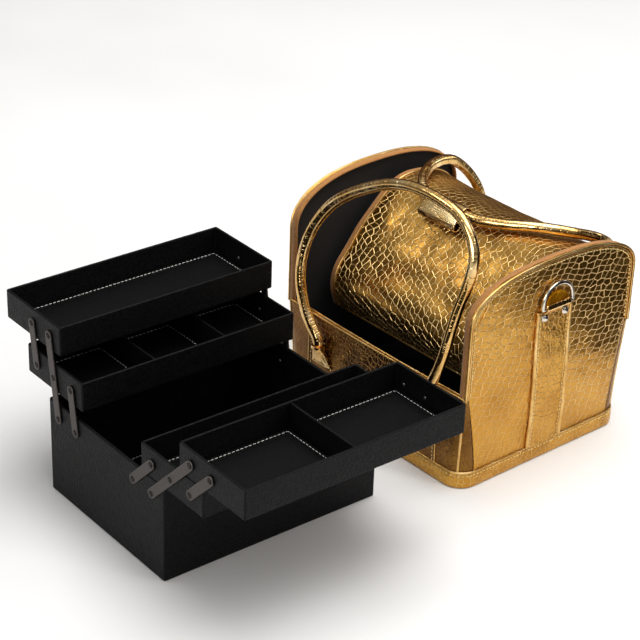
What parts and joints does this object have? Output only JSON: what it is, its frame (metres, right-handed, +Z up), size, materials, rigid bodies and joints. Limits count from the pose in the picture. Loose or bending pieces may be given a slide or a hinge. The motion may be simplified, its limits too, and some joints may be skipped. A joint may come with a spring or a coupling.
{
  "type": "makeup train case",
  "caption": "Soft gold carry bag with arched ends, tucked cover and two long handles, beside its black cantilever tray insert with opening trays.",
  "frame": {"origin": "centre of the bag's underside, on the surface it stands on", "axes": "+Z up; -Y out of the bag's front towards the insert, whose long side runs along Y; +X to the right when the bag is seen from the insert's side"},
  "size_m": [0.4394, 0.6373, 0.3257],
  "materials": {
    "gold_croc_leather": "metallic gold faux leather embossed in a crocodile pattern, glossy, with darker reflections",
    "gold_tube_leather": "metallic gold faux leather rolled over a cord core, smoother than the panels",
    "black_leatherette": "matt black leatherette with a fine grain",
    "black_stitched_mat": "black padded mat with white stitching round its edge",
    "gunmetal_steel": "gunmetal grey pressed steel arms",
    "tan_zip_tape": "tan woven zip tape",
    "black_lining": "black woven lining",
    "bright_nickel": "bright nickel plated wire and castings"
  },
  "bodies": {
    "bag": {"bag_floor": "black_lining", "base_band": "gold_croc_leather", "front_wall": "gold_croc_leather", "back_wall": "gold_croc_leather", "left_end_panel": "gold_croc_leather", "right_end_panel": "gold_croc_leather", "left_zip_tape": "tan_zip_tape", "right_zip_tape": "tan_zip_tape", "front_handle_tab_left": "gold_tube_leather", "front_handle_tab_right": "gold_tube_leather", "rear_handle_tab_left": "gold_tube_leather", "rear_handle_tab_right": "gold_tube_leather", "left_ring_strap": "gold_croc_leather", "right_ring_strap": "gold_croc_leather", "left_strap_rivet_front": "bright_nickel", "left_strap_rivet_back": "bright_nickel", "right_strap_rivet_front": "bright_nickel", "right_strap_rivet_back": "bright_nickel"},
    "cover": {"cover": "gold_croc_leather"},
    "front_handle": {"front_handle": "gold_tube_leather"},
    "rear_handle": {"rear_handle": "gold_tube_leather", "handle_wrap": "gold_croc_leather"},
    "left_d_ring": {"left_d_ring": "bright_nickel"},
    "right_d_ring": {"right_d_ring": "bright_nickel"},
    "left_zip_slider": {"left_zip_slider": "bright_nickel"},
    "right_zip_slider": {"right_zip_slider": "bright_nickel"},
    "left_zip_pull": {"left_zip_pull": "bright_nickel"},
    "right_zip_pull": {"right_zip_pull": "bright_nickel"},
    "insert": {"insert_wall_outer_end": "black_leatherette", "insert_wall_bag_end": "black_leatherette", "insert_wall_left": "black_leatherette", "insert_wall_right": "black_leatherette", "insert_floor": "black_leatherette", "insert_mat": "black_stitched_mat"},
    "left_lower_tray": {"left_lower_tray": "black_leatherette", "left_lower_tray_divider_1": "black_leatherette", "left_lower_tray_divider_2": "black_leatherette", "left_lower_tray_mat_1": "black_stitched_mat", "left_lower_tray_mat_2": "black_stitched_mat", "left_lower_tray_mat_3": "black_stitched_mat"},
    "left_upper_tray": {"left_upper_tray": "black_leatherette", "left_upper_tray_mat": "black_stitched_mat"},
    "right_lower_tray": {"right_lower_tray": "black_leatherette", "right_lower_tray_mat": "black_stitched_mat"},
    "right_upper_tray": {"right_upper_tray": "black_leatherette", "right_upper_tray_divider": "black_leatherette", "right_upper_tray_mat_1": "black_stitched_mat", "right_upper_tray_mat_2": "black_stitched_mat"},
    "left_long_arms": {"left_long_arm_outer_end": "gunmetal_steel", "left_long_arm_bag_end": "gunmetal_steel"},
    "left_inner_arms": {"left_inner_arm_outer_end": "gunmetal_steel", "left_inner_arm_bag_end": "gunmetal_steel"},
    "left_outer_arms": {"left_outer_arm_outer_end": "gunmetal_steel", "left_outer_arm_bag_end": "gunmetal_steel"},
    "right_long_arms": {"right_long_arm_outer_end": "gunmetal_steel", "right_long_arm_bag_end": "gunmetal_steel"},
    "right_inner_arms": {"right_inner_arm_outer_end": "gunmetal_steel", "right_inner_arm_bag_end": "gunmetal_steel"},
    "right_outer_arms": {"right_outer_arm_outer_end": "gunmetal_steel", "right_outer_arm_bag_end": "gunmetal_steel"}
  },
  "joints": [
    {"name": "left_arms_swing", "type": "hinge", "parent": "insert", "child": "left_long_arms", "pos_m": [-0.0931, -0.345, 0.098], "axis": [0, 1, 0], "range_deg": [-35.6, 53.6]},
    {"name": "left_lower_tray_level", "type": "hinge", "parent": "left_long_arms", "child": "left_lower_tray", "pos_m": [-0.10069, -0.345, 0.14591], "axis": [0, 1, 0], "range_deg": [-53.6, 35.6]},
    {"name": "left_upper_tray_level", "type": "hinge", "parent": "left_long_arms", "child": "left_upper_tray", "pos_m": [-0.10828, -0.345, 0.19382], "axis": [0, 1, 0], "range_deg": [-53.6, 35.6]},
    {"name": "left_inner_arms_swing", "type": "hinge", "parent": "insert", "child": "left_inner_arms", "pos_m": [-0.059, -0.345, 0.098], "axis": [0, 1, 0], "range_deg": [-35.6, 53.6]},
    {"name": "left_outer_arms_swing", "type": "hinge", "parent": "left_lower_tray", "child": "left_outer_arms", "pos_m": [-0.13479, -0.345, 0.14591], "axis": [0, 1, 0], "range_deg": [-35.6, 53.6]},
    {"name": "right_arms_swing", "type": "hinge", "parent": "insert", "child": "right_long_arms", "pos_m": [0.0851, -0.345, 0.098], "axis": [0, -1, 0], "range_deg": [0, 89.2]},
    {"name": "right_lower_tray_level", "type": "hinge", "parent": "right_long_arms", "child": "right_lower_tray", "pos_m": [0.1192, -0.345, 0.1325], "axis": [0, -1, 0], "range_deg": [-89.2, 0]},
    {"name": "right_upper_tray_level", "type": "hinge", "parent": "right_long_arms", "child": "right_upper_tray", "pos_m": [0.1533, -0.345, 0.167], "axis": [0, -1, 0], "range_deg": [-89.2, 0]},
    {"name": "right_inner_arms_swing", "type": "hinge", "parent": "insert", "child": "right_inner_arms", "pos_m": [0.051, -0.345, 0.098], "axis": [0, -1, 0], "range_deg": [0, 89.2]},
    {"name": "right_outer_arms_swing", "type": "hinge", "parent": "right_lower_tray", "child": "right_outer_arms", "pos_m": [0.1533, -0.345, 0.1325], "axis": [0, -1, 0], "range_deg": [0, 89.2]},
    {"name": "insert_slide", "type": "slide", "parent": "bag", "child": "insert", "axis": [0, -1, 0], "range_m": [0, 0.15]},
    {"name": "cover_hinge", "type": "hinge", "parent": "bag", "child": "cover", "pos_m": [-0.0044, 0.12592, 0.1403], "axis": [-0.9994, -0.0349, 0], "range_deg": [0, 80]},
    {"name": "rear_handle_swing", "type": "hinge", "parent": "bag", "child": "rear_handle", "pos_m": [-0.0048, 0.13742, 0.084], "axis": [-0.9994, -0.0349, 0], "range_deg": [0, 100]},
    {"name": "front_handle_swing", "type": "hinge", "parent": "bag", "child": "front_handle", "pos_m": [0.0048, -0.13742, 0.084], "axis": [0.9994, 0.0349, 0], "range_deg": [0, 22]},
    {"name": "left_d_ring_swing", "type": "hinge", "parent": "bag", "child": "left_d_ring", "pos_m": [-0.1556, -0.00543, 0.1978], "axis": [0.0349, -0.9994, 0], "range_deg": [0, 160]},
    {"name": "right_d_ring_swing", "type": "hinge", "parent": "bag", "child": "right_d_ring", "pos_m": [0.1556, 0.00543, 0.1978], "axis": [-0.0349, 0.9994, 0], "range_deg": [0, 160]},
    {"name": "left_zip_slide", "type": "slide", "parent": "bag", "child": "left_zip_slider", "axis": [0, 0, 1], "range_m": [-0.027, 0.016]},
    {"name": "left_pull_swing", "type": "hinge", "parent": "left_zip_slider", "child": "left_zip_pull", "pos_m": [-0.14833, 0.1301, 0.1738], "axis": [0.9994, 0.0349, 0], "range_deg": [0, 150]},
    {"name": "right_zip_slide", "type": "slide", "parent": "bag", "child": "right_zip_slider", "axis": [0, 0, 1], "range_m": [-0.027, 0.016]},
    {"name": "right_pull_swing", "type": "hinge", "parent": "right_zip_slider", "child": "right_zip_pull", "pos_m": [0.13889, 0.14013, 0.1738], "axis": [0.9994, 0.0349, 0], "range_deg": [0, 150]}
  ],
  "couplings": [
    {"joint": "left_lower_tray_level", "follows": "left_arms_swing", "ratio": -1},
    {"joint": "left_upper_tray_level", "follows": "left_arms_swing", "ratio": -1},
    {"joint": "left_inner_arms_swing", "follows": "left_arms_swing", "ratio": 1},
    {"joint": "left_outer_arms_swing", "follows": "left_arms_swing", "ratio": 1},
    {"joint": "right_lower_tray_level", "follows": "right_arms_swing", "ratio": -1},
    {"joint": "right_upper_tray_level", "follows": "right_arms_swing", "ratio": -1},
    {"joint": "right_inner_arms_swing", "follows": "right_arms_swing", "ratio": 1},
    {"joint": "right_outer_arms_swing", "follows": "right_arms_swing", "ratio": 1},
    {"joint": "rear_handle_swing", "follows": "cover_hinge", "ratio": 1.25}
  ]
}
